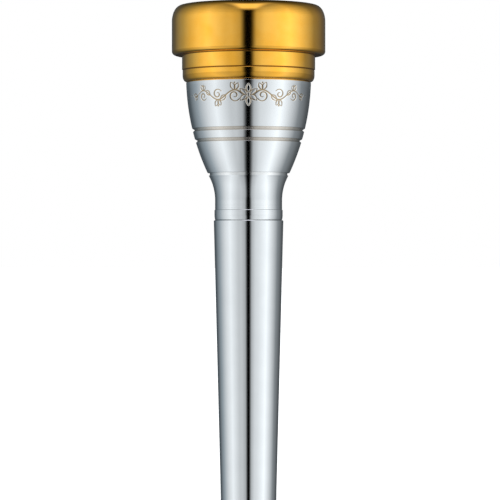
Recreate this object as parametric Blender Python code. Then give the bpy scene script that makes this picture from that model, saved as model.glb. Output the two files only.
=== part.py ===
"""Sectional trumpet mouthpiece: a gold-plated rim screwed on a silver-plated cup, screwed on a backbore.

Everything is turned about the Z axis, with the shank's tip at the origin and the rim on top. Each screw
joint has a real thread, a plain pilot above it and a seal ring held in the upper piece. Sizes are in
millimetres.
"""

import math

import bmesh
import bpy

MM = 0.001
STEPS = 32  # facets round each turned piece
FIT = 0.1  # gap left between two faces that meet
SHADE_SHARP = math.radians(35)

# Gold-plated rim and the collar below it
TOP = 88.0
RIM_RADIUS = 13.5
RIM_CREST_RADIUS = 10.9
RIM_EDGE = (1.6, 2.8)  # width and height of the long round between the crest and the side
RIM_LOWER_EDGE_ARC = 0.7
RIM_UNDERSIDE = 79.3
COLLAR_RADIUS = 11.71
COLLAR_BAND_RADIUS = 11.61
COLLAR_SEAM = 76.65
COLLAR_SEAM_STEP = 0.1
COLLAR_EDGE = (0.6, 1.1)  # width and height
COLLAR_BOTTOM = 74.65

# Bowl: a half ellipse of revolution, from the bite down to the throat
BITE_RADIUS = 8.45
BITE_HEIGHT = 86.6
BOWL_DEPTH = 9.3
THROAT_RADIUS = 1.83
THROAT_ARC = 1.2
THROAT_ARC_END = 100  # degrees from outwards, where the throat's arc meets the bowl
THROAT_BLEND = 0.05

# Outside of the silver-plated cup: a long convex arc, then a flare into the neck
BODY_ARC = 40.3
BODY_ARC_CENTRE = (-29.3, 75.65)
BODY_TOP = 74.3
FLARE_ARC = 9.0
FLARE_ARC_CENTRE = (14.895, 53.8)
FLARE_TOP = 58.2
CUP_BOTTOM = 50.35
NECK_BAND_RADIUS = 6.0
NECK_BAND_TOP = 52.13
NECK_BAND_STEP = 0.06
NECK_BAND_TAPER = (0.09, 0.8)  # width and height of the slope at the band's bottom
CUP_BOTTOM_BREAK = 0.05
CUP_GROOVES = (  # height, half width, depth, half width of the floor
    (66.11, 0.3, 0.27, 0.04),
    (64.23, 0.3, 0.27, 0.04),
    (58.37, 0.23, 0.18, 0.2),
)

# Backbore: a straight shank with a slow taper, bored out wider towards its tip
SHOULDER = CUP_BOTTOM - FIT
SHANK_TOP_RADIUS = 6.12
SHANK_TOP_EDGE = (0.17, 0.14)  # width and height
SHANK_TIP_RADIUS = 4.85
SHANK_EDGE = 0.12
BORE_TIP_RADIUS = 4.2
BORE_FLARE = 0.8

# Both screw joints: pitch, turns of thread, and the radial play of the female thread
PITCH = 1.0
THREAD_DEPTH = 0.541 * PITCH
THREAD_TURNS = 4
THREAD_PLAY = 0.12
THREAD_RUN_OUT = 0.15  # turns over which a ridge rises from nothing
FLANK, CREST, ROOT = 0.3125, 0.125, 0.25  # shares of a pitch
THREAD_LEAD = 0.65  # from a tenon's shoulder up to the start of its thread
THREAD_CLEAR = 0.1  # plain stretch above a male thread
PILOT_STEP = 0.4  # height of the step from a male thread in to its pilot

RIM_THREAD_RADIUS = 10.0
RIM_TENON_TOP = 81.9
RIM_PILOT_RADIUS = 8.95
BACKBORE_THREAD_RADIUS = 4.5
BACKBORE_TENON_TOP = 60.0
BACKBORE_PILOT_RADIUS = 3.45
EDGE_BREAK = 0.2  # chamfer on the tenons' ends and the sockets' mouths

# Seal rings, round in section, resting in the recess above each female thread
SEAL_SECTION = 0.5
SEAL_GAP = 0.05
SEAL_SECTION_STEPS = 8
RIM_SEAL_HEIGHT = 81.3
CUP_SEAL_HEIGHT = 57.35
CUP_RECESS_TOP = 58.0

# Straight steps along each curved stretch of an outline
RIM_EDGE_STEPS = 5
RIM_LOWER_EDGE_STEPS = 2
COLLAR_EDGE_STEPS = 3
CREST_STEPS = 3
RIM_BOWL_STEPS = 4
CUP_BOWL_STEPS = 6
THROAT_STEPS = 3
SIDE_STEPS = 3
FLARE_STEPS = 4
BORE_STEPS = 9


class Thread:
    """A threaded stretch of wall: ridges of one pitch, standing out of the base radius by depth."""

    def __init__(self, base, depth, start, shares):
        self.base = base
        self.depth = depth
        self.start = start
        self.shares = shares

    def end(self):
        return self.start + (THREAD_TURNS + 1) * PITCH


def male_thread(radius, shoulder):
    shares = ((0.0, 0), (FLANK, 1), (FLANK + CREST, 1), (2 * FLANK + CREST, 0))
    return Thread(radius - THREAD_DEPTH, THREAD_DEPTH, shoulder + THREAD_LEAD, shares)


def female_thread(radius, shoulder):
    """The mating thread: its ridges lie in the male thread's roots, with THREAD_PLAY all round."""
    shares = ((0.0, 0), (FLANK, 1), (FLANK + ROOT, 1), (2 * FLANK + ROOT, 0))
    start = shoulder + THREAD_LEAD + (FLANK + CREST) * PITCH
    return Thread(radius + THREAD_PLAY, -THREAD_DEPTH, start, shares)


def spread(first, last, steps):
    """Evenly spaced values from the first to the last, both included."""
    return [first + (last - first) * i / steps for i in range(steps + 1)]


def rounded(centre, width, height, first, last, steps):
    """Points on an ellipse in the (radius, height) plane, both ends included, in degrees from outwards."""
    angles = [math.radians(a) for a in spread(first, last, steps)]
    return [(centre[0] + width * math.cos(a), centre[1] + height * math.sin(a)) for a in angles]


def arc(centre, radius, first, last, steps):
    return rounded(centre, radius, radius, first, last, steps)


def bowl(low, high, steps):
    """Points on the bowl from one height up to another."""
    first, last = (math.asin((BITE_HEIGHT - h) / BOWL_DEPTH) for h in (low, high))
    angles = spread(first, last, steps)
    return [(BITE_RADIUS * math.cos(a), BITE_HEIGHT - BOWL_DEPTH * math.sin(a)) for a in angles]


def crest():
    """Points from the bite up to the rim's crest, on a quarter of an ellipse, without its lower end."""
    half_width, height = RIM_CREST_RADIUS - BITE_RADIUS, TOP - BITE_HEIGHT
    angles = spread(math.pi, math.pi / 2, CREST_STEPS)[1:]
    return [
        (RIM_CREST_RADIUS + half_width * math.cos(a), BITE_HEIGHT + height * math.sin(a))
        for a in angles
    ]


def body_radius(height):
    return BODY_ARC_CENTRE[0] + math.sqrt(BODY_ARC**2 - (height - BODY_ARC_CENTRE[1]) ** 2)


def flare_radius(height):
    if height <= FLARE_ARC_CENTRE[1]:
        return FLARE_ARC_CENTRE[0] - FLARE_ARC
    return FLARE_ARC_CENTRE[0] - math.sqrt(FLARE_ARC**2 - (height - FLARE_ARC_CENTRE[1]) ** 2)


def side_radius(height):
    """Radius of the cup's outside, without its grooves."""
    return body_radius(height) if height > FLARE_TOP else flare_radius(height)


def backbore_radius(height):
    share = (BACKBORE_TENON_TOP - height) / BACKBORE_TENON_TOP
    return THROAT_RADIUS + (BORE_TIP_RADIUS - THROAT_RADIUS) * share**BORE_FLARE


def rim_outline():
    """Down the rim's and the collar's outside, then up the threaded socket and the top of the bowl."""
    edge_centre = (RIM_RADIUS - RIM_EDGE[0], TOP - RIM_EDGE[1])
    lower_centre = (RIM_RADIUS - RIM_LOWER_EDGE_ARC, RIM_UNDERSIDE + RIM_LOWER_EDGE_ARC)
    band_centre = (COLLAR_BAND_RADIUS - COLLAR_EDGE[0], COLLAR_BOTTOM + COLLAR_EDGE[1])
    thread = female_thread(RIM_THREAD_RADIUS, BODY_TOP + EDGE_BREAK)
    ceiling = RIM_TENON_TOP + FIT
    return [
        *rounded(edge_centre, *RIM_EDGE, 90, 0, RIM_EDGE_STEPS),
        *arc(lower_centre, RIM_LOWER_EDGE_ARC, 0, -90, RIM_LOWER_EDGE_STEPS),
        (COLLAR_RADIUS, RIM_UNDERSIDE),
        (COLLAR_RADIUS, COLLAR_SEAM + COLLAR_SEAM_STEP),
        (COLLAR_BAND_RADIUS, COLLAR_SEAM),
        *rounded(band_centre, *COLLAR_EDGE, 0, -90, COLLAR_EDGE_STEPS),
        (thread.base + EDGE_BREAK, COLLAR_BOTTOM),
        (thread.base, COLLAR_BOTTOM + EDGE_BREAK),
        thread,
        (thread.base, ceiling),
        *bowl(ceiling, BITE_HEIGHT, RIM_BOWL_STEPS),
        *crest(),
    ]


def groove(height, half_width, depth, floor_half_width):
    """Four points of a flat-floored groove in the cup's side, from its upper lip to its lower one."""
    upper, lower = height + half_width, height - half_width
    floor = min(side_radius(upper), side_radius(lower)) - depth
    return [
        (side_radius(upper), upper),
        (floor, height + floor_half_width),
        (floor, height - floor_half_width),
        (side_radius(lower), lower),
    ]


def cup_side():
    """The cup's outside from its shoulder down to the bottom of the neck band."""
    first, second, third = (groove(*each) for each in CUP_GROOVES)
    body = spread(BODY_TOP, first[0][1], SIDE_STEPS)[:-1]
    middle = spread(second[-1][1], third[0][1], SIDE_STEPS)[1:-1]
    flare = spread(third[-1][1], FLARE_ARC_CENTRE[1], FLARE_STEPS)[1:]
    taper_foot = NECK_BAND_RADIUS - NECK_BAND_TAPER[0]
    return [
        *[(side_radius(h), h) for h in body],
        *first,
        *second,
        *[(side_radius(h), h) for h in middle],
        *third,
        *[(side_radius(h), h) for h in flare],
        (side_radius(NECK_BAND_TOP), NECK_BAND_TOP),
        (NECK_BAND_RADIUS, NECK_BAND_TOP - NECK_BAND_STEP),
        (NECK_BAND_RADIUS, CUP_BOTTOM + CUP_BOTTOM_BREAK + NECK_BAND_TAPER[1]),
        (taper_foot, CUP_BOTTOM + CUP_BOTTOM_BREAK),
        (taper_foot - CUP_BOTTOM_BREAK, CUP_BOTTOM),
    ]


def pilot(radius, top, thread):
    """Down a tenon's plain pilot, from its chamfered end to the step above its male thread."""
    return [
        (radius - EDGE_BREAK, top),
        (radius, top - EDGE_BREAK),
        (radius, thread.end() + THREAD_CLEAR + PILOT_STEP),
        (thread.base, thread.end() + THREAD_CLEAR),
    ]


def cup_outline():
    """Down the tenon and the cup's outside, up the socket and the throat, then up the bowl."""
    tenon = male_thread(RIM_THREAD_RADIUS, BODY_TOP + EDGE_BREAK)
    socket = female_thread(BACKBORE_THREAD_RADIUS, SHOULDER)
    recess_radius = BACKBORE_PILOT_RADIUS + FIT
    floor_radius = THROAT_RADIUS + THROAT_ARC
    bowl_floor = BITE_HEIGHT - BOWL_DEPTH * math.sin(math.acos(floor_radius / BITE_RADIUS))
    throat_centre = (floor_radius, bowl_floor - THROAT_ARC)
    return [
        *pilot(RIM_PILOT_RADIUS, RIM_TENON_TOP, tenon),
        tenon,
        (tenon.base, BODY_TOP + EDGE_BREAK),
        (side_radius(BODY_TOP) - EDGE_BREAK, BODY_TOP + EDGE_BREAK),
        *cup_side(),
        (socket.base + EDGE_BREAK, CUP_BOTTOM),
        (socket.base, CUP_BOTTOM + EDGE_BREAK),
        socket,
        (socket.base, CUP_RECESS_TOP),
        (recess_radius, CUP_RECESS_TOP),
        (recess_radius, BACKBORE_TENON_TOP + FIT),
        (THROAT_RADIUS, BACKBORE_TENON_TOP + FIT),
        *arc(throat_centre, THROAT_ARC, 180, THROAT_ARC_END, THROAT_STEPS),
        *bowl(bowl_floor + THROAT_BLEND, RIM_TENON_TOP, CUP_BOWL_STEPS),
    ]


def backbore_outline():
    """Down the tenon and the tapered shank, then up the flared bore."""
    tenon = male_thread(BACKBORE_THREAD_RADIUS, SHOULDER)
    return [
        *pilot(BACKBORE_PILOT_RADIUS, BACKBORE_TENON_TOP, tenon),
        tenon,
        (tenon.base, SHOULDER),
        (SHANK_TOP_RADIUS - SHANK_TOP_EDGE[0], SHOULDER),
        (SHANK_TOP_RADIUS, SHOULDER - SHANK_TOP_EDGE[1]),
        (SHANK_TIP_RADIUS, SHANK_EDGE),
        (SHANK_TIP_RADIUS - SHANK_EDGE, 0.0),
        *[(backbore_radius(h), h) for h in spread(0.0, BACKBORE_TENON_TOP, BORE_STEPS)],
    ]


def seal_outline(pilot_radius, height):
    centre = (pilot_radius + SEAL_GAP + SEAL_SECTION, height)
    return arc(centre, SEAL_SECTION, 0, 360, SEAL_SECTION_STEPS)[:-1]


def vertex(mesh, radius, turn, height):
    """A vertex at a share of a turn round the axis."""
    angle = 2 * math.pi * turn
    return mesh.verts.new((radius * MM * math.cos(angle), radius * MM * math.sin(angle), height * MM))


def circle(mesh, radius, height):
    return [vertex(mesh, radius, i / STEPS, height) for i in range(STEPS)]


def join_circles(mesh, first, second):
    for i in range(STEPS):
        j = (i + 1) % STEPS
        mesh.faces.new((first[i], first[j], second[j], second[i]))


def helix_rows(mesh, thread, seat):
    """Rows climbing one pitch a turn, and the column that carries the last row round to the start."""
    per_turn = len(thread.shares)
    rows = []
    for k in range(THREAD_TURNS * per_turn + 1):
        turn, (share, ridge) = k // per_turn, thread.shares[k % per_turn]
        row = []
        for i in range(STEPS):
            along = turn + i / STEPS
            rise = min(1.0, along / THREAD_RUN_OUT, (THREAD_TURNS - along) / THREAD_RUN_OUT)
            radius = thread.base + thread.depth * ridge * max(0.0, rise)
            row.append(vertex(mesh, radius, i / STEPS, thread.start - seat + (along + share) * PITCH))
        rows.append(row)
    shares = [share for share, _ in thread.shares[1:]] + [1.0]
    top = thread.start - seat + THREAD_TURNS * PITCH
    column = [vertex(mesh, thread.base, 0.0, top + share * PITCH) for share in shares]
    return rows, column


def join_thread(mesh, lower, upper, thread, seat):
    """The threaded wall between two plain circles of the base radius."""
    rows, column = helix_rows(mesh, thread, seat)
    per_turn = len(thread.shares)
    start_column = [row[0] for row in rows] + column
    for k in range(len(rows) - 1):
        for i in range(STEPS - 1):
            mesh.faces.new((rows[k][i], rows[k][i + 1], rows[k + 1][i + 1], rows[k + 1][i]))
        after, above = start_column[k + per_turn], start_column[k + per_turn + 1]
        mesh.faces.new((rows[k][-1], after, above, rows[k + 1][-1]))
    first, last = rows[0], rows[-1]
    for i in range(STEPS - 1):
        mesh.faces.new((lower[i], lower[i + 1], first[i + 1], first[i]))
    mesh.faces.new([lower[-1], lower[0], *start_column[: per_turn + 1], first[-1]])
    mesh.faces.new([last[0], last[1], upper[1], upper[0], *reversed(column)])
    for i in range(1, STEPS - 1):
        mesh.faces.new((last[i], last[i + 1], upper[i + 1], upper[i]))
    mesh.faces.new((last[-1], column[-1], upper[0], upper[-1]))


def turn_outline(mesh, outline, seat):
    """A body of revolution from a closed outline; a thread lies between two circles of its base radius."""
    circles = [None if isinstance(p, Thread) else circle(mesh, p[0], p[1] - seat) for p in outline]
    for i, item in enumerate(outline):
        following = (i + 1) % len(outline)
        if isinstance(item, Thread):
            before, after = circles[i - 1], circles[following]
            lower, upper = sorted((before, after), key=lambda ring: ring[0].co.z)
            join_thread(mesh, lower, upper, item, seat)
        elif circles[following]:
            join_circles(mesh, circles[i], circles[following])


def material(name, colour, roughness, metallic):
    made = bpy.data.materials.new(name)
    made.use_nodes = True
    shader = made.node_tree.nodes["Principled BSDF"]
    shader.inputs["Base Color"].default_value = (*colour, 1.0)
    shader.inputs["Roughness"].default_value = roughness
    shader.inputs["Metallic"].default_value = metallic
    made.diffuse_color = (*colour, 1.0)
    return made


def add_piece(name, outline, surface, seat, parent=None):
    """One turned piece, its origin on the axis at its seat, carried by the piece that it is fitted to."""
    mesh = bmesh.new()
    turn_outline(mesh, outline, seat)
    bmesh.ops.recalc_face_normals(mesh, faces=mesh.faces)
    data = bpy.data.meshes.new(name)
    mesh.to_mesh(data)
    mesh.free()
    data.shade_smooth()
    data.set_sharp_from_angle(angle=SHADE_SHARP)
    data.materials.append(surface)
    piece = bpy.data.objects.new(name, data)
    bpy.context.scene.collection.objects.link(piece)
    piece["seat"] = seat
    piece.parent = parent
    piece.location.z = (seat - (parent["seat"] if parent else 0.0)) * MM
    return piece


def clear_scene():
    for old in list(bpy.data.objects):
        bpy.data.objects.remove(old, do_unlink=True)


def build():
    clear_scene()
    gold = material("gold_plate", colour=(0.95, 0.55, 0.12), roughness=0.08, metallic=1.0)
    silver = material("silver_plate", colour=(0.86, 0.87, 0.88), roughness=0.08, metallic=1.0)
    nitrile = material("nitrile", colour=(0.02, 0.02, 0.02), roughness=0.55, metallic=0.0)
    backbore = add_piece("backbore", backbore_outline(), silver, 0.0)
    cup_seal_outline = seal_outline(BACKBORE_PILOT_RADIUS, CUP_SEAL_HEIGHT)
    cup_seal = add_piece("cup_seal", cup_seal_outline, nitrile, CUP_SEAL_HEIGHT, backbore)
    cup = add_piece("cup", cup_outline(), silver, SHOULDER, cup_seal)
    rim_seal_outline = seal_outline(RIM_PILOT_RADIUS, RIM_SEAL_HEIGHT)
    rim_seal = add_piece("rim_seal", rim_seal_outline, nitrile, RIM_SEAL_HEIGHT, cup)
    add_piece("rim", rim_outline(), gold, COLLAR_BOTTOM, rim_seal)


build()
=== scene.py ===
"""Sectional trumpet mouthpiece: the finely turned and plated pieces that stand for the CAD solids.

A gold-plated rim is screwed on a silver-plated cup, which is screwed on a silver-plated backbore, with
a rubber seal ring in each joint. Outlines are in millimetres, from heights and radii read off the frame.
"""

import math

import bmesh
import bpy
import numpy as np
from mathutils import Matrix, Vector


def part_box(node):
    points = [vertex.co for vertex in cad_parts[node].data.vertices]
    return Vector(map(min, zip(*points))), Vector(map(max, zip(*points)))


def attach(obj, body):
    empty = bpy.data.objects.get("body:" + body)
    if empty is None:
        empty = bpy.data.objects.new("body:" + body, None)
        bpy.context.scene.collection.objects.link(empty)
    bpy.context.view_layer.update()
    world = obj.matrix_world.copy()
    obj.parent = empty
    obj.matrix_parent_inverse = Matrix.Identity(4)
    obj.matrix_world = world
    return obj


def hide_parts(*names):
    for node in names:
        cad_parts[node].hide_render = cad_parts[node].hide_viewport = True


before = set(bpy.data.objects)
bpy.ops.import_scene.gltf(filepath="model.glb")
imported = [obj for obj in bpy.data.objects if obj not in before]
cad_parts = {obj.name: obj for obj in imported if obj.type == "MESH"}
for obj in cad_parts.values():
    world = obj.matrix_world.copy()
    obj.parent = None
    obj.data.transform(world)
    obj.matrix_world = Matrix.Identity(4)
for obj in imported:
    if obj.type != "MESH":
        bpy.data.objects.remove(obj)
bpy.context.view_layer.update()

MM = 0.001
STEPS = 192  # columns round each turned piece
SOFT_EDGE_STEPS = 10
BOWL_STEPS = 30
CREST_STEPS = 20
BORE_STEPS = 60
THROAT_ROUNDS = 20  # rounds of settling the angle where the throat meets the bowl
ARC_STEP = 6.0  # degrees between two points on an arc
ROW_STEP = 0.4  # height between two rows on a long curve
HOLD = 0.03  # distance of the row that keeps a long face flat up to its edge
LONG_FACE = 0.25
SHADE_SHARP = math.radians(50)


def top(node):
    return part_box(node)[1].z / MM


def bottom(node):
    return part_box(node)[0].z / MM


def reach(node):
    """A node's largest radius."""
    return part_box(node)[1].x / MM


# Gold-plated rim and the collar below it
TOP = top("rim")
RIM_RADIUS = reach("rim")
RIM_CREST_RADIUS = RIM_RADIUS - 2.6
RIM_EDGE = (1.6, 2.8)  # width and height of the long round between the crest and the side
RIM_LOWER_EDGE_ARC = 0.7
COLLAR_BOTTOM = bottom("rim")
RIM_UNDERSIDE = COLLAR_BOTTOM + 4.65
RIM_FILLET = 0.12
RIM_CORNER_STAIN_AND_SHADE = 1.0  # how much darkening lies under the rim, partly tarnish and partly painted shade
COLLAR_RADIUS = RIM_RADIUS - 1.79
COLLAR_BAND_RADIUS = RIM_RADIUS - 1.89
COLLAR_SEAM = COLLAR_BOTTOM + 2.0
COLLAR_SEAM_DEPTH = 0.08
COLLAR_SEAM_EDGE = 0.14
COLLAR_SEAM_FLOOR = 0.02  # half width of the seam's floor, and how far its lower lip stands in
COLLAR_EDGE_WIDTH = 0.6
COLLAR_EDGE_HEIGHT = 1.1

# Bowl: a half ellipse of revolution, from the bite down to the throat
BITE_RADIUS = 8.45
BITE_HEIGHT = TOP - 1.4
BOWL_DEPTH = 9.3
THROAT_RADIUS = 1.83
THROAT_ARC = 1.2

# Outside of the silver-plated cup
SEAT_GAP = 0.04  # between two faces that meet when a joint is tight
SHOULDER_TOP = COLLAR_BOTTOM - SEAT_GAP
SHOULDER_BREAK = 0.2
BODY_TOP = SHOULDER_TOP - SHOULDER_BREAK
BODY_ARC = 40.3
BODY_ARC_CENTRE = (-29.3, COLLAR_BOTTOM + 1.0)
CUP_TOP = top("cup")
CUP_BOTTOM = bottom("cup")
FLARE_ARC = 9.0
NECK_RADIUS = 5.895
FLARE_ARC_CENTRE = (NECK_RADIUS + FLARE_ARC, CUP_BOTTOM + 3.45)
FLARE_TOP = CUP_BOTTOM + 7.85
NECK_BAND_TOP = CUP_BOTTOM + 1.78
NECK_BAND_RADIUS = 6.0
NECK_BAND_SLOPE = 1.8  # width over height of the step at the band's top
NECK_BAND_BREAK = (0.015, 0.03)  # width and height of the broken edge at the band's top
NECK_BAND_TAPER = (0.09, 0.8)  # width and height of the long soft edge at the band's bottom
CUP_BOTTOM_BREAK = 0.05
LIP = 0.04  # broken edge on both sides of a groove
GROOVES = (  # height, half width, depth, half width of the floor, how much darkening lies in it, partly tarnish and partly painted shade
    (CUP_BOTTOM + 15.76, 0.3, 0.27, 0.04, 0.4),
    (CUP_BOTTOM + 13.88, 0.3, 0.27, 0.04, 0.4),
    (CUP_BOTTOM + 8.02, 0.23, 0.18, 0.2, 0.1),
)

# Backbore
TENON_TOP = top("backbore")
TIP = bottom("backbore")
SHOULDER = CUP_BOTTOM - SEAT_GAP
SHANK_TOP_RADIUS = reach("backbore")
SHANK_TOP_CHAMFER = (0.16, 0.11)  # width and height
SHANK_TOP_BREAK = (0.013, 0.028)  # width and height of the broken edge below the chamfer
SHANK_TIP_RADIUS = 4.85
SHANK_EDGE = 0.12
BORE_TIP_RADIUS = 4.2
BORE_FLARE = 0.8

# Screw joints
FIT = 0.1
PITCH = 1.0
THREAD_DEPTH = 0.541 * PITCH
THREAD_TURNS = 4
THREAD_PLAY = 0.12
THREAD_RUN_OUT = 0.15
THREAD_LEAD = 0.65
FLANK, CREST, ROOT = 0.3125, 0.125, 0.25
CREST_ROUND = 0.05  # share of the depth taken off a ridge's corners
THREAD_CLEAR = 0.1
PILOT_STEP = 0.4
RIM_THREAD_RADIUS = 10.0
RIM_PILOT_RADIUS = 8.95
BACKBORE_THREAD_RADIUS = 4.5
BACKBORE_PILOT_RADIUS = 3.45
CUP_RECESS_TOP = TENON_TOP - 2.0
EDGE_BREAK = 0.2

SEAL_FLASH = 0.015  # mould line standing out of the ring

# Leaf scroll engraved round the front of the cup
FRONT = 0.75  # share of a turn from +X to the front
SCROLL_HALF_ANGLE = 62.0
SCROLL_TOP = SHOULDER_TOP - 0.5
SCROLL_BOTTOM = SHOULDER_TOP - 5.1
SCROLL_ROW = 0.06
SCROLL_SPLIT = 5  # fine columns in each plain column
SCROLL_DEPTH = 0.05
VINE_START = 0.75
VINE_END = 10.4
VINE_WAVE = 6.4
VINE_HEIGHT = 0.8
VINE_STEPS = 120
VINE_CUT = (0.17, 0.15, 0.08)  # half widths of the cut from end to end
CURL_STEPS = 70
CURL_CUT = (0.08, 0.15, 0.13, 0.07)
CURL_WIND = 0.82  # share of its radius that a tendril winds in by
LEAF_STEPS = 24
LEAF_CUT = (0.08, 0.13, 0.06)
LEAF_BEND = 0.25
LEAF_LENGTH = 1.5
DOT_STEPS = 13
BAYS = 3
BAY_SHRINK = 0.14  # how much smaller each bay is than the first, for each step outwards


# --- Outlines: lists of (radius, height) or (radius, height, recess) ---


class Thread:
    """A threaded stretch of wall: ridges of one pitch, standing out of the base radius by depth."""

    def __init__(self, base, depth, start, land):
        self.base = base
        self.depth = depth
        self.start = start
        nick = CREST_ROUND * FLANK
        high, low = 1 - CREST_ROUND / 2, CREST_ROUND / 2
        self.profile = (
            (0.0, 0.0),
            (nick, low),
            (FLANK - nick, high),
            (FLANK, 1.0),
            (FLANK + land, 1.0),
            (FLANK + land + nick, high),
            (2 * FLANK + land - nick, low),
            (2 * FLANK + land, 0.0),
        )

    def end(self):
        return self.start + (THREAD_TURNS + 1) * PITCH


class Scroll:
    """The stretch of the cup's side that carries the engraved leaf scroll."""


def male_thread(radius, shoulder):
    return Thread(radius - THREAD_DEPTH, THREAD_DEPTH, shoulder + THREAD_LEAD, CREST)


def female_thread(radius, shoulder):
    start = shoulder + THREAD_LEAD + (FLANK + CREST) * PITCH
    return Thread(radius + THREAD_PLAY, -THREAD_DEPTH, start, ROOT)


def spread(first, last, steps):
    """Evenly spaced values from the first to the last, both included."""
    return [first + (last - first) * i / steps for i in range(steps + 1)]


def arc(centre, radius, first, last):
    """Points on an arc in the (radius, height) plane. Angles are degrees from outwards."""
    return rounded(centre, radius, radius, first, last)


def rounded(centre, width, height, first, last):
    """Points on part of an ellipse with this half width and half height."""
    steps = math.ceil(abs(last - first) / ARC_STEP)
    angles = [math.radians(a) for a in spread(first, last, steps)]
    return [(centre[0] + width * math.cos(a), centre[1] + height * math.sin(a)) for a in angles]


def follow(radius_at, first, last):
    """Points along a wall whose radius is a function of height."""
    steps = math.ceil(abs(last - first) / ROW_STEP)
    return [(radius_at(h), h) for h in spread(first, last, steps)]


def bowl(first, last):
    """Points on the bowl between two angles of its ellipse, in degrees: 0 at the bite, 90 on the axis."""
    angles = [math.radians(a) for a in spread(first, last, BOWL_STEPS)]
    return [(BITE_RADIUS * math.cos(a), BITE_HEIGHT - BOWL_DEPTH * math.sin(a)) for a in angles]


def bowl_angle(height):
    return math.degrees(math.asin((BITE_HEIGHT - height) / BOWL_DEPTH))


def crest():
    """From the bite up to the rim's crest, on a quarter of an ellipse, without its lower end."""
    half_width, height = RIM_CREST_RADIUS - BITE_RADIUS, TOP - BITE_HEIGHT
    angles = spread(math.pi, math.pi / 2, CREST_STEPS)[1:]
    return [
        (RIM_CREST_RADIUS + half_width * math.cos(a), BITE_HEIGHT + height * math.sin(a))
        for a in angles
    ]


def throat():
    """The rounded edge between the throat's wall and the bowl, and the bowl's angle where it ends."""
    lean = 0.0
    for _ in range(THROAT_ROUNDS):
        across = (THROAT_RADIUS + THROAT_ARC - THROAT_ARC * math.sin(lean)) / BITE_RADIUS
        angle = math.acos(across)
        lean = math.atan2(math.cos(angle) / BITE_RADIUS, math.sin(angle) / BOWL_DEPTH)
    low_edge = (BITE_RADIUS * across, BITE_HEIGHT - BOWL_DEPTH * math.sin(angle))
    centre = (low_edge[0] + THROAT_ARC * math.sin(lean), low_edge[1] - THROAT_ARC * math.cos(lean))
    return arc(centre, THROAT_ARC, 180, 90 + math.degrees(lean)), math.degrees(angle)


def body_radius(height):
    return BODY_ARC_CENTRE[0] + math.sqrt(BODY_ARC**2 - (height - BODY_ARC_CENTRE[1]) ** 2)


def flare_radius(height):
    if height <= FLARE_ARC_CENTRE[1]:
        return FLARE_ARC_CENTRE[0] - FLARE_ARC
    return FLARE_ARC_CENTRE[0] - math.sqrt(FLARE_ARC**2 - (height - FLARE_ARC_CENTRE[1]) ** 2)


def side_radius(height):
    """Radius of the cup's outside, without its grooves."""
    return body_radius(height) if height > FLARE_TOP else flare_radius(height)


def backbore_radius(height):
    share = (TENON_TOP - height) / (TENON_TOP - TIP)
    return THROAT_RADIUS + (BORE_TIP_RADIUS - THROAT_RADIUS) * share**BORE_FLARE


def groove(height, half_width, depth, floor_half_width, stain_and_shade):
    """A groove in the cup's side with a flat floor and its lips broken, from the top down. Its walls and
    floor are darkened, partly as tarnish and partly as painted shade.
    """
    upper, lower = height + half_width, height - half_width
    floor = min(side_radius(upper), side_radius(lower)) - depth
    return [
        (side_radius(upper + LIP), upper + LIP),
        (side_radius(upper) - LIP / 3, upper, stain_and_shade / 2),
        (floor, height + floor_half_width, stain_and_shade),
        (floor, height - floor_half_width, stain_and_shade),
        (side_radius(lower) - LIP / 3, lower, stain_and_shade / 2),
        (side_radius(lower - LIP), lower - LIP),
    ]


def neck_band():
    """From the neck's wall down over the low band at its foot, which falls away in a long soft edge."""
    break_width, break_height = NECK_BAND_BREAK
    slope_width = NECK_BAND_RADIUS - NECK_RADIUS - break_width
    slope_foot = NECK_BAND_TOP - slope_width / NECK_BAND_SLOPE
    fall, taper = NECK_BAND_TAPER
    foot = CUP_BOTTOM + CUP_BOTTOM_BREAK
    soft = spread(0, 1, SOFT_EDGE_STEPS)
    return [
        (NECK_RADIUS, NECK_BAND_TOP),
        (NECK_RADIUS + slope_width, slope_foot),
        (NECK_BAND_RADIUS, slope_foot - break_height),
        *[(NECK_BAND_RADIUS - fall * s**2, foot + taper * (1 - s)) for s in soft],
    ]


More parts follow.
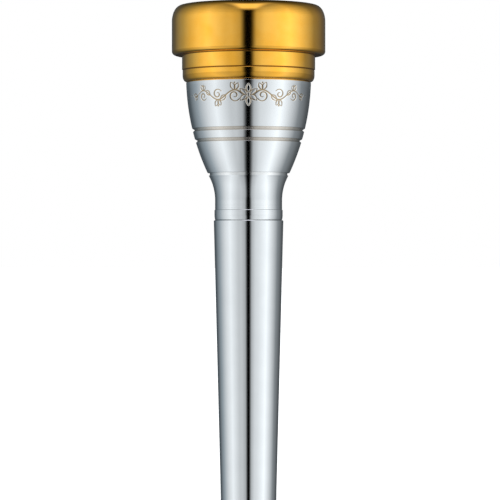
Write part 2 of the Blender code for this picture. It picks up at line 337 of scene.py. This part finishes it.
def rim_outline():
    """Down the rim's and the collar's outside, then up the threaded socket and the top of the bowl."""
    edge_width, edge_height = RIM_EDGE
    edge_centre = (RIM_RADIUS - edge_width, TOP - edge_height)
    lower_centre = (RIM_RADIUS - RIM_LOWER_EDGE_ARC, RIM_UNDERSIDE + RIM_LOWER_EDGE_ARC)
    fillet_centre = (COLLAR_RADIUS + RIM_FILLET, RIM_UNDERSIDE - RIM_FILLET)
    band_centre = (COLLAR_BAND_RADIUS - COLLAR_EDGE_WIDTH, COLLAR_BOTTOM + COLLAR_EDGE_HEIGHT)
    thread = female_thread(RIM_THREAD_RADIUS, SHOULDER_TOP)
    ceiling = CUP_TOP + FIT
    return [
        *rounded(edge_centre, edge_width, edge_height, 90, 0),
        *arc(lower_centre, RIM_LOWER_EDGE_ARC, 0, -90)[:-1],
        # Under the rim's overhang the surface is darkened: partly tarnish, partly painted shade.
        (RIM_RADIUS - RIM_LOWER_EDGE_ARC, RIM_UNDERSIDE, RIM_CORNER_STAIN_AND_SHADE),
        *[(*point, RIM_CORNER_STAIN_AND_SHADE) for point in arc(fillet_centre, RIM_FILLET, 90, 180)[:-1]],
        (COLLAR_RADIUS, RIM_UNDERSIDE - RIM_FILLET),
        (COLLAR_RADIUS, COLLAR_SEAM + COLLAR_SEAM_EDGE),
        # The seam's walls and floor are darkened: partly tarnish, partly painted shade.
        (COLLAR_RADIUS - COLLAR_SEAM_DEPTH, COLLAR_SEAM + COLLAR_SEAM_EDGE / 2, 0.5),
        (COLLAR_BAND_RADIUS - COLLAR_SEAM_DEPTH, COLLAR_SEAM + COLLAR_SEAM_FLOOR, 1.0),
        (COLLAR_BAND_RADIUS - COLLAR_SEAM_DEPTH, COLLAR_SEAM - COLLAR_SEAM_FLOOR, 1.0),
        (COLLAR_BAND_RADIUS - COLLAR_SEAM_FLOOR, COLLAR_SEAM - COLLAR_SEAM_EDGE / 2, 0.5),
        (COLLAR_BAND_RADIUS, COLLAR_SEAM - COLLAR_SEAM_EDGE),
        *rounded(band_centre, COLLAR_EDGE_WIDTH, COLLAR_EDGE_HEIGHT, 0, -90),
        (thread.base + EDGE_BREAK, COLLAR_BOTTOM),
        (thread.base, COLLAR_BOTTOM + EDGE_BREAK),
        thread,
        (thread.base, ceiling),
        *bowl(bowl_angle(ceiling), 0),
        *crest(),
    ]


def cup_side():
    """The cup's outside from its shoulder down to the bottom of the neck band."""
    first, second, third = (groove(*each) for each in GROOVES)
    return [
        *follow(side_radius, BODY_TOP, SCROLL_TOP),
        Scroll(),
        *follow(side_radius, SCROLL_BOTTOM, first[0][1])[:-1],
        *first,
        *follow(side_radius, first[-1][1], second[0][1])[1:-1],
        *second,
        *follow(side_radius, second[-1][1], third[0][1])[1:-1],
        *third,
        *follow(side_radius, third[-1][1], FLARE_ARC_CENTRE[1])[1:],
        *neck_band(),
        (NECK_BAND_RADIUS - NECK_BAND_TAPER[0] - CUP_BOTTOM_BREAK, CUP_BOTTOM),
    ]


def pilot(radius, high, thread):
    """Down a tenon's plain pilot, from its chamfered end to the step above its male thread."""
    return [
        (radius - EDGE_BREAK, high),
        (radius, high - EDGE_BREAK),
        (radius, thread.end() + THREAD_CLEAR + PILOT_STEP),
        (thread.base, thread.end() + THREAD_CLEAR),
    ]


def cup_outline():
    """Down the tenon and the cup's outside, up the socket and the throat, then up the bowl."""
    tenon = male_thread(RIM_THREAD_RADIUS, SHOULDER_TOP)
    socket = female_thread(BACKBORE_THREAD_RADIUS, SHOULDER)
    recess_radius = BACKBORE_PILOT_RADIUS + FIT
    throat_edge, throat_angle = throat()
    return [
        *pilot(RIM_PILOT_RADIUS, CUP_TOP, tenon),
        tenon,
        (tenon.base, SHOULDER_TOP),
        (side_radius(BODY_TOP) - SHOULDER_BREAK, SHOULDER_TOP),
        *cup_side(),
        (socket.base + EDGE_BREAK, CUP_BOTTOM),
        (socket.base, CUP_BOTTOM + EDGE_BREAK),
        socket,
        (socket.base, CUP_RECESS_TOP),
        (recess_radius, CUP_RECESS_TOP),
        (recess_radius, TENON_TOP + FIT),
        (THROAT_RADIUS, TENON_TOP + FIT),
        *throat_edge,
        *bowl(throat_angle, bowl_angle(CUP_TOP))[1:],
    ]


def backbore_outline():
    """Down the tenon and the tapered shank, then up the flared bore."""
    tenon = male_thread(BACKBORE_THREAD_RADIUS, SHOULDER)
    width, height = SHANK_TOP_CHAMFER
    break_width, break_height = SHANK_TOP_BREAK
    return [
        *pilot(BACKBORE_PILOT_RADIUS, TENON_TOP, tenon),
        tenon,
        (tenon.base, SHOULDER),
        (SHANK_TOP_RADIUS - break_width - width, SHOULDER),
        (SHANK_TOP_RADIUS - break_width, SHOULDER - height),
        (SHANK_TOP_RADIUS, SHOULDER - height - break_height),
        (SHANK_TIP_RADIUS, TIP + SHANK_EDGE),
        (SHANK_TIP_RADIUS - SHANK_EDGE, TIP),
        *[(backbore_radius(h), h) for h in spread(TIP, TENON_TOP, BORE_STEPS)],
    ]


def seal_outline(node):
    """A round section with the mould's thin flash line round its inside, hidden when it is fitted."""
    section = (top(node) - bottom(node)) / 2
    centre = (reach(node) - section, (top(node) + bottom(node)) / 2)
    outline = arc(centre, section, 180, -180)[:-1]
    flash = (centre[0] - section - SEAL_FLASH, centre[1])
    return [flash, *outline[1:]]


def held(outline):
    """The outline with a row near each end of every long straight face, so that only its edge is soft."""
    made = []
    for i, here in enumerate(outline):
        after = outline[(i + 1) % len(outline)]
        made.append(here)
        if isinstance(here, (Thread, Scroll)) or isinstance(after, (Thread, Scroll)):
            continue
        length = math.dist(here[:2], after[:2])
        if length > LONG_FACE:
            recess = here[2] if len(here) > 2 else 0.0
            for share in (HOLD / length, 1 - HOLD / length):
                made.append(tuple(a + (b - a) * share for a, b in zip(here[:2], after[:2])) + (recess,))
    return made


# --- Leaf scroll ---


def taper(points, widths):
    """Stroke of an engraver's tool: points with the half width of the cut at each."""
    shares = np.linspace(0, 1, len(points))
    return np.column_stack([points, np.interp(shares, np.linspace(0, 1, len(widths)), widths)])


def vine_height(along):
    return VINE_HEIGHT * np.sin(2 * math.pi * (along - VINE_START) / VINE_WAVE)


def vine():
    """The wavy stem."""
    along = np.linspace(VINE_START, VINE_END, VINE_STEPS)
    return taper(np.column_stack([along, vine_height(along)]), VINE_CUT)


def curl(centre, radius, first, turns):
    """A tendril that winds in towards its centre."""
    share = np.linspace(0, 1, CURL_STEPS)
    angle = math.radians(first) + 2 * math.pi * turns * share
    out = abs(radius) * (1 - CURL_WIND * share)
    points = np.column_stack([centre[0] + out * np.cos(angle), centre[1] + out * np.sin(angle)])
    return taper(points, CURL_CUT)


def leaf(root, direction, length):
    """A pointed leaf: two curved sides."""
    along = np.array([math.cos(math.radians(direction)), math.sin(math.radians(direction))])
    across = np.array([-along[1], along[0]])
    share = np.linspace(0, 1, LEAF_STEPS)[:, None]
    bulge = np.sin(math.pi * share) * length * LEAF_BEND
    spine = np.array(root) + along * share * length
    return [taper(spine + across * bulge * side, LEAF_CUT) for side in (-1, 1)]


def dot(centre, radius):
    angle = np.linspace(0, 2 * math.pi, DOT_STEPS)
    half = radius / 2
    points = np.column_stack([centre[0] + half * np.cos(angle), centre[1] + half * np.sin(angle)])
    return [taper(points, (half, half))]


def scroll_strokes():
    """The right half of the garland, from the middle outwards; the left half mirrors it."""
    strokes = [vine()]
    for bay in range(BAYS):
        side = 1 if bay % 2 else -1
        crest_at = VINE_START + VINE_WAVE * (0.25 + bay / 2)
        size = 1 - BAY_SHRINK * bay
        strokes.append(curl((crest_at + 0.05, 0.15 * side), 1.05 * size, 150 * side, -1.25 * side))
        for direction, length in ((62, LEAF_LENGTH), (118, 1.35)):
            strokes += leaf((crest_at, -side * VINE_HEIGHT), -side * direction, length * size)
        strokes += leaf((crest_at + VINE_WAVE / 4, 0.0), side * 40, LEAF_LENGTH * size)
        strokes += dot((crest_at, -side * (VINE_HEIGHT + 1.25 * size)), 0.16)
    for direction in (40, -40):
        strokes += leaf((0.25, 0.0), direction, LEAF_LENGTH)
    strokes += leaf((0.0, 0.3), 90, 1.6)
    strokes += leaf((0.0, -0.3), -90, 1.6)
    strokes += leaf((VINE_END, vine_height(VINE_END)), 10, 1.2)
    for far in range(2):
        strokes += dot((VINE_END + 1.5 + 0.6 * far, 0.1), 0.15)
    return strokes


def engrave(angles, heights):
    """Depth share of the cut at each place of the grid, from 0 to 1."""
    middle_height = (heights[0] + heights[-1]) / 2
    radius = side_radius(middle_height)
    across = (angles - 2 * math.pi * FRONT) * radius
    along = heights - middle_height
    cut = np.zeros((len(heights), len(angles)))
    for stroke in scroll_strokes():
        for mirror in (-1, 1):
            line = stroke * (mirror, 1, 1)
            for start, end in zip(line[:-1], line[1:]):
                cut_segment(cut, across, along, start, end)
    return cut


def cut_segment(cut, across, along, start, end):
    """Deepens the grid under one short straight cut."""
    reach_out = max(start[2], end[2])
    low, high = np.minimum(start, end)[:2] - reach_out, np.maximum(start, end)[:2] + reach_out
    columns = np.nonzero((across > low[0]) & (across < high[0]))[0]
    rows = np.nonzero((along > low[1]) & (along < high[1]))[0]
    if not len(columns) or not len(rows):
        return
    window = np.ix_(rows, columns)
    u, v = np.meshgrid(across[columns], along[rows])
    step = end[:2] - start[:2]
    share = ((u - start[0]) * step[0] + (v - start[1]) * step[1]) / max(step @ step, 1e-12)
    share = np.clip(share, 0, 1)
    distance = np.hypot(u - start[0] - share * step[0], v - start[1] - share * step[1])
    half_width = start[2] + (end[2] - start[2]) * share
    cut[window] = np.maximum(cut[window], 1 - distance / half_width)


# --- Turned meshes ---


class Lathe:
    """The vertices and faces of one turned piece, in millimetres."""

    def __init__(self):
        self.points = []
        self.recess = []
        self.faces = []

    def row(self, radii, turns, heights, recess=0.0):
        """A row of vertices at shares of a turn round the axis. Returns their numbers."""
        radii, turns, heights, recess = np.broadcast_arrays(radii, turns, heights, recess)
        angles = 2 * math.pi * turns
        first = len(self.points)
        points = np.column_stack([radii * np.cos(angles), radii * np.sin(angles), heights])
        self.points.extend(points.tolist())
        self.recess.extend(recess.tolist())
        return list(range(first, first + len(points)))

    def circle(self, point):
        recess = point[2] if len(point) > 2 else 0.0
        return self.row(point[0], np.arange(STEPS) / STEPS, point[1], recess)

    def join(self, above, below):
        """Four-sided faces between two closed rows of the same count."""
        for i in range(len(above)):
            j = (i + 1) % len(above)
            self.faces.append((below[i], below[j], above[j], above[i]))

    def join_split(self, plain, fine, counts, plain_above):
        """Faces between a plain circle and a row that has several vertices for each of its columns."""
        starts = np.concatenate([[0], np.cumsum(counts)])
        for i in range(STEPS):
            j = (i + 1) % STEPS
            run = [fine[k % len(fine)] for k in range(starts[i], starts[i + 1] + 1)]
            face = [*run, plain[j], plain[i]]
            self.faces.append(tuple(face if plain_above else reversed(face)))

    def thread(self, lower, upper, thread):
        """The threaded wall between two plain circles of its base radius, climbing one pitch a turn."""
        per_turn = len(thread.profile)
        turns = np.arange(STEPS) / STEPS
        rows = []
        for k in range(THREAD_TURNS * per_turn + 1):
            share, ridge = thread.profile[k % per_turn]
            along = k // per_turn + turns
            rise = np.clip(np.minimum(along, THREAD_TURNS - along) / THREAD_RUN_OUT, 0, 1)
            radii = thread.base + thread.depth * ridge * rise
            rows.append(self.row(radii, turns, thread.start + (along + share) * PITCH))
        shares = [share for share, _ in thread.profile[1:]] + [1.0]
        heights = thread.start + (THREAD_TURNS + np.array(shares)) * PITCH
        column = self.row(thread.base, 0.0, heights)
        starts = [row[0] for row in rows] + column
        for k in range(len(rows) - 1):
            for i in range(STEPS - 1):
                self.faces.append((rows[k][i], rows[k][i + 1], rows[k + 1][i + 1], rows[k + 1][i]))
            after, above = starts[k + per_turn], starts[k + per_turn + 1]
            self.faces.append((rows[k][-1], after, above, rows[k + 1][-1]))
        first, last = rows[0], rows[-1]
        for i in range(STEPS - 1):
            self.faces.append((lower[i], lower[i + 1], first[i + 1], first[i]))
        self.faces.append((lower[-1], lower[0], *starts[: per_turn + 1], first[-1]))
        self.faces.append((last[0], last[1], upper[1], upper[0], *reversed(column)))
        for i in range(1, STEPS - 1):
            self.faces.append((last[i], last[i + 1], upper[i + 1], upper[i]))
        self.faces.append((last[-1], column[-1], upper[0], upper[-1]))

    def scroll(self, above, below):
        """The engraved stretch of the cup's side, with finer rows and columns at the front."""
        middle = (np.arange(STEPS) + 0.5) / STEPS - FRONT
        counts = np.where(abs(middle) * 360 < SCROLL_HALF_ANGLE, SCROLL_SPLIT, 1)
        turns = np.concatenate([(i + np.arange(n) / n) / STEPS for i, n in enumerate(counts)])
        steps = math.ceil((SCROLL_TOP - SCROLL_BOTTOM) / SCROLL_ROW)
        heights = np.array(spread(SCROLL_TOP, SCROLL_BOTTOM, steps)[1:-1])
        cut = engrave(turns * 2 * math.pi, heights)
        depth = SCROLL_DEPTH * cut * (2 - cut)
        stain_and_shade = np.clip(cut * 2, 0, 1)
        rows = []
        for k, height in enumerate(heights):
            rows.append(self.row(side_radius(height) - depth[k], turns, height, stain_and_shade[k]))
        self.join_split(above, rows[0], counts, True)
        for upper, lower in zip(rows[:-1], rows[1:]):
            self.join(upper, lower)
        self.join_split(below, rows[-1], counts, False)

    def turn(self, outline):
        """A body of revolution from a closed outline, which runs down its outside and up its inside."""
        special = (Thread, Scroll)
        outline = held(outline)
        circles = [None if isinstance(p, special) else self.circle(p) for p in outline]
        for i, item in enumerate(outline):
            after = circles[(i + 1) % len(outline)]
            if isinstance(item, Scroll):
                self.scroll(circles[i - 1], after)
            elif isinstance(item, Thread):
                before = circles[i - 1]
                lower, upper = sorted((before, after), key=lambda ring: self.points[ring[0]][2])
                self.thread(lower, upper, item)
            elif after:
                self.join(circles[i], after)


def add_piece(name, outline, surface, node):
    """One turned piece that stands for a CAD node and rides on the body of the same name."""
    lathe = Lathe()
    lathe.turn(outline)
    data = bpy.data.meshes.new(name)
    data.from_pydata((np.array(lathe.points) * MM).tolist(), [], lathe.faces)
    recess = data.attributes.new("recess", "FLOAT", "POINT")
    recess.data.foreach_set("value", np.array(lathe.recess, np.float32))
    mesh = bmesh.new()
    mesh.from_mesh(data)
    bmesh.ops.recalc_face_normals(mesh, faces=mesh.faces)
    mesh.to_mesh(data)
    mesh.free()
    data.shade_smooth()
    data.set_sharp_from_angle(angle=SHADE_SHARP)
    data.materials.append(surface)
    piece = bpy.data.objects.new(name, data)
    bpy.context.scene.collection.objects.link(piece)
    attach(piece, node)
    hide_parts(node)
    return piece


# --- Materials ---

# Scales of the noise, to the metre
PATCH_SCALE = 260.0
TURNING_SCALE = 2600.0
FINE_TURNING_SCALE = 14000.0
HAZE_SCALE = 900.0
BLOOM_SCALE = 1800.0
GRAIN_SCALE = 9000.0
PATH_RADIUS_SHARE = 0.6
TURNING_HEIGHT = 0.000002
GRAIN_HEIGHT = 0.00001


class Nodes:
    """Adds nodes to a material's or a world's tree."""

    def __init__(self, tree):
        self.tree = tree

    def add(self, kind, inputs=None, **settings):
        node = self.tree.nodes.new("ShaderNode" + kind)
        for name, value in settings.items():
            setattr(node, name, value)
        for socket, value in (inputs or {}).items():
            if isinstance(value, bpy.types.NodeSocket):
                self.tree.links.new(value, node.inputs[socket])
            else:
                node.inputs[socket].default_value = value
        return node

    def math(self, operation, *values):
        return self.add("Math", dict(enumerate(values)), operation=operation).outputs[0]

    def mix(self, share, first, second):
        return self.add("MixRGB", {0: share, 1: first, 2: second}).outputs[0]

    def multiply(self, first, second):
        return self.add("VectorMath", {0: first, 1: second}, operation="MULTIPLY").outputs[0]

    def step(self, value, zero, one):
        """0 on one side of a smooth step and 1 on the other."""
        chosen = {"Value": value, "From Min": zero, "From Max": one}
        return self.add("MapRange", chosen, interpolation_type="SMOOTHSTEP").outputs[0]

    def noise(self, scale, detail=2.0, **inputs):
        chosen = {"Scale": scale, "Detail": detail, **inputs}
        dimensions = "1D" if "W" in inputs else "3D"
        return self.add("TexNoise", chosen, noise_dimensions=dimensions).outputs[0]

    def ramp(self, value, *stops):
        """A colour ramp through (position, grey or colour)."""
        node = self.add("ValToRGB", {0: value})
        elements = node.color_ramp.elements
        while len(elements) < len(stops):
            elements.new(1.0)
        for element, (position, colour) in zip(elements, stops):
            element.position = position
            element.color = (*colour, 1.0) if isinstance(colour, tuple) else (colour, colour, colour, 1.0)
        return node.outputs[0]


def new_material(name, metallic):
    made = bpy.data.materials.new(name)
    made.use_nodes = True
    shader = made.node_tree.nodes["Principled BSDF"]
    shader.inputs["Metallic"].default_value = metallic
    return made, Nodes(made.node_tree), shader


def turned_place(nodes):
    """Where a point lies along the tool's path: its height plus a share of its radius."""
    place = nodes.add("TexCoord").outputs["Object"]
    parts = nodes.add("SeparateXYZ", {0: place}).outputs
    flat = nodes.add("CombineXYZ", {0: parts[0], 1: parts[1]}).outputs[0]
    radius = nodes.add("VectorMath", {0: flat}, operation="LENGTH").outputs["Value"]
    return place, nodes.math("ADD", parts[2], nodes.math("MULTIPLY", radius, PATH_RADIUS_SHARE))


def plated(name, clean, deep, stain_and_shade, roughness):
    """Polished plate over turned brass: clean and deep colours in soft patches, and a darker colour in its
    recesses: tarnish and engraving tint, and painted shade in the grooves, the seam and under the rim.
    """
    made, nodes, shader = new_material(name, 1.0)
    link = made.node_tree.links.new
    place, path = turned_place(nodes)
    patches = nodes.noise(PATCH_SCALE, 3.0, Vector=place)
    colour = nodes.mix(nodes.ramp(patches, (0.35, 0.0), (0.7, 1.0)), (*clean, 1), (*deep, 1))
    recess = nodes.add("Attribute", attribute_name="recess").outputs["Fac"]
    # Darker colour mixed in by the recess share: tint of the engraved cuts and tarnish, and painted shade
    # in the grooves, the seam and under the rim.
    link(nodes.mix(recess, colour, (*stain_and_shade, 1)), shader.inputs["Base Color"])
    lines = nodes.noise(TURNING_SCALE, 2.0, W=path)
    fine = nodes.noise(FINE_TURNING_SCALE, 1.0, W=path)
    haze = nodes.noise(HAZE_SCALE, 4.0, Vector=place)
    worn = nodes.math("MULTIPLY_ADD", haze, 0.05, nodes.math("MULTIPLY_ADD", fine, 0.03, roughness - 0.04))
    link(nodes.math("MULTIPLY_ADD", recess, 0.25, worn), shader.inputs["Roughness"])
    height = nodes.math("MULTIPLY_ADD", fine, 0.3, lines)
    bump = nodes.add("Bump", {"Strength": 0.6, "Distance": TURNING_HEIGHT, "Height": height})
    link(bump.outputs[0], shader.inputs["Normal"])
    return made


def nitrile():
    """Black moulded rubber with a faint bloom."""
    made, nodes, shader = new_material("nitrile", 0.0)
    link = made.node_tree.links.new
    place, _ = turned_place(nodes)
    bloom = nodes.noise(BLOOM_SCALE, 5.0, Vector=place)
    dust = nodes.ramp(bloom, (0.45, (0.012, 0.012, 0.013)), (0.8, (0.035, 0.035, 0.037)))
    link(dust, shader.inputs["Base Color"])
    link(nodes.math("MULTIPLY_ADD", bloom, 0.25, 0.4), shader.inputs["Roughness"])
    grain = nodes.noise(GRAIN_SCALE, 3.0, Vector=place)
    bump = nodes.add("Bump", {"Strength": 0.5, "Distance": GRAIN_HEIGHT, "Height": grain})
    link(bump.outputs[0], shader.inputs["Normal"])
    return made


# --- Studio ---

CAMERA_DISTANCE = 0.46
CAMERA_HEIGHT = 0.04506
CAMERA_SIDE = 0.00025
SEEN_HEIGHT = 0.088  # height that fills the picture at the part's axis
SENSOR_WIDTH = 36.0
FLOOR_HALF = 6.0
FLOOR_COLOUR = (0.88, 0.88, 0.88, 1)
SUN_STRENGTH = 3.4
SUN_ANGLE = 100  # degrees that the sun spreads over

# Light round the part: degrees from the camera towards +X, brightness, and how cool it is. A wide softbox
# stands on each side, the one on the right a little brighter, and it is dark behind.
AROUND = (
    (-180, 0.05, 0.2),
    (-145, 0.1, 0.2),
    (-115, 0.35, 0.15),
    (-85, 0.75, 0.06),
    (-65, 0.95, 0.06),
    (-35, 0.6, 0.06),
    (0, 0.55, 0.06),
    (35, 0.8, 0.06),
    (65, 1.1, 0.06),
    (85, 0.75, 0.06),
    (115, 0.25, 0.1),
    (145, 0.1, 0.1),
    (180, 0.05, 0.2),
)
ABOVE_HORIZON = 1.36
BELOW_HORIZON = 0.735
LEVELS = (  # degrees above the horizon, and brightness
    (-90, 0.36),
    (-62, 0.4),
    (-50, BELOW_HORIZON * 0.97),
    (-25, BELOW_HORIZON * 1.05),
    (1, BELOW_HORIZON),
    (3.4, 1.0),
    (12, 1.0),
    (45, 0.45),
    (75, 0.12),
    (90, 0.08),
)
# Black flag round the camera: distance of a ray to its middle along X, and how much light passes
FLAG = ((0.06, 0.0), (0.1, 0.1), (0.2, 0.75), (0.4, 1.0))
FLAG_MIDDLE = -0.012
FLAG_FLARE = 0.026  # how much wider the flag is at its upper end
FLAG_FLARE_MIDDLE = 0.46  # share of the flare at which the flag has its stated width
FLAG_FLARE_FROM, FLAG_FLARE_TO = -10, 6  # degrees above the horizon
FLAG_TOP = 28.0  # degrees above the horizon
FLAG_TOP_FADE = 6
FLAG_BEHIND = -0.2  # how far behind the part the flag has faded out
PANEL_FRONT = 0.15
PANEL_UP = ((27, 0.0), (40, 1.0), (60, 1.0), (74, 0.0))  # degrees above the horizon, and strength
PANEL_COLOUR = (0.86, 0.88, 0.98, 1)
PANEL_HALF = (0.5, 0.2)  # slopes where the soft side edge of the panel overhead ends and starts


def cooled(brightness, coolness):
    return (brightness * (1 - coolness), brightness, brightness * (1 + 0.75 * coolness))


def studio_world():
    """Soft light from all round, with a bright panel overhead. The camera itself sees plain white."""
    world = bpy.data.worlds.new("studio")
    bpy.context.scene.world = world
    world.use_nodes = True
    world.node_tree.nodes.clear()
    nodes = Nodes(world.node_tree)
    direction = nodes.add("TexCoord").outputs["Generated"]
    across, along, upwards = nodes.add("SeparateXYZ", {0: direction}).outputs
    towards = nodes.math("MULTIPLY", along, -1.0)
    azimuth = nodes.math("ARCTAN2", across, towards)
    turn = nodes.math("MULTIPLY_ADD", azimuth, 0.5 / math.pi, 0.5)
    around = nodes.ramp(turn, *[((a + 180) / 360, cooled(b, c)) for a, b, c in AROUND])
    rise = nodes.math("MULTIPLY_ADD", upwards, 0.5, 0.5)

    def at(degrees):
        return 0.5 + 0.5 * math.sin(math.radians(degrees))

    level = nodes.ramp(rise, *[(at(degrees), brightness) for degrees, brightness in LEVELS])
    sides = nodes.multiply(around, level)
    off_middle = nodes.math("ABSOLUTE", nodes.math("SUBTRACT", across, FLAG_MIDDLE))
    risen = nodes.step(rise, at(FLAG_FLARE_FROM), at(FLAG_FLARE_TO))
    flare = nodes.math("SUBTRACT", FLAG_FLARE_MIDDLE, risen)
    off_flag = nodes.math("MULTIPLY_ADD", flare, FLAG_FLARE, off_middle)
    behind = nodes.step(towards, 0.0, FLAG_BEHIND)
    above = nodes.step(rise, at(FLAG_TOP), at(FLAG_TOP + FLAG_TOP_FADE))
    passing = nodes.math("MAXIMUM", nodes.ramp(off_flag, *FLAG), nodes.math("MAXIMUM", behind, above))
    flagged = nodes.multiply(sides, passing)
    steepness = nodes.math("DIVIDE", nodes.math("ABSOLUTE", across), nodes.math("MAXIMUM", upwards, 0.05))
    panel_sides = nodes.step(steepness, *PANEL_HALF)
    panel_front = nodes.step(towards, 0.0, PANEL_FRONT)
    panel_across = nodes.math("MULTIPLY", panel_sides, panel_front)
    panel_up = nodes.ramp(rise, *[(at(degrees), strength) for degrees, strength in PANEL_UP])
    panel = nodes.math("MULTIPLY", panel_across, panel_up)
    colour = nodes.mix(panel, flagged, PANEL_COLOUR)
    light = nodes.add("Background", {"Color": colour, "Strength": ABOVE_HORIZON})
    plain = nodes.add("Background", {"Color": (1, 1, 1, 1), "Strength": 1.0})
    seen = nodes.add("LightPath").outputs["Is Camera Ray"]
    mixed = nodes.add("MixShader", {0: seen, 1: light.outputs[0], 2: plain.outputs[0]})
    output = nodes.add("OutputWorld", {0: mixed.outputs[0]})
    output.is_active_output = True


def add_floor():
    """A wide pale floor under the tip. Metal doesn't mirror it, as if it were far below."""
    data = bpy.data.meshes.new("floor")
    mesh = bmesh.new()
    bmesh.ops.create_grid(mesh, x_segments=8, y_segments=8, size=FLOOR_HALF)
    mesh.to_mesh(data)
    mesh.free()
    floor = bpy.data.objects.new("floor", data)
    floor.location.z = TIP * MM
    bpy.context.scene.collection.objects.link(floor)
    made, nodes, shader = new_material("pale_floor", 0.0)
    shader.inputs["Base Color"].default_value = FLOOR_COLOUR
    shader.inputs["Roughness"].default_value = 0.9
    shader.inputs["Specular IOR Level"].default_value = 0.0
    data.materials.append(made)
    floor.visible_glossy = False


def add_sun():
    """Broad soft light from straight above, for the floor. It leaves no spot on the metal."""
    data = bpy.data.lights.new("overhead", "SUN")
    data.energy = SUN_STRENGTH
    data.angle = math.radians(SUN_ANGLE)
    sun = bpy.data.objects.new("overhead", data)
    sun.visible_glossy = False
    bpy.context.scene.collection.objects.link(sun)


def add_camera():
    data = bpy.data.cameras.new("camera")
    data.sensor_width = SENSOR_WIDTH
    data.lens = data.sensor_width * CAMERA_DISTANCE / SEEN_HEIGHT
    data.clip_start = 0.01
    data.clip_end = 20.0
    camera = bpy.data.objects.new("camera", data)
    camera.location = (CAMERA_SIDE, -CAMERA_DISTANCE, CAMERA_HEIGHT)
    camera.rotation_euler = (math.pi / 2, 0.0, 0.0)
    bpy.context.scene.collection.objects.link(camera)
    bpy.context.scene.camera = camera


def build():
    # The third colour of each plate is its darker tone in recesses: tarnish and engraving tint, and partly
    # painted shade.
    gold = plated("gold_plate", (1.0, 0.52, 0.085), (0.98, 0.465, 0.05), (0.36, 0.19, 0.04), 0.09)
    silver = plated("silver_plate", (0.93, 0.93, 0.925), (0.9, 0.9, 0.895), (0.5, 0.36, 0.2), 0.08)
    rubber = nitrile()
    add_piece("gold_rim", rim_outline(), gold, "rim")
    add_piece("silver_cup", cup_outline(), silver, "cup")
    add_piece("silver_backbore", backbore_outline(), silver, "backbore")
    add_piece("rim_seal_ring", seal_outline("rim_seal"), rubber, "rim_seal")
    add_piece("cup_seal_ring", seal_outline("cup_seal"), rubber, "cup_seal")
    add_floor()
    add_sun()
    studio_world()
    add_camera()
    settings = bpy.context.scene.view_settings
    settings.view_transform = "Standard"
    settings.look = "None"


build()
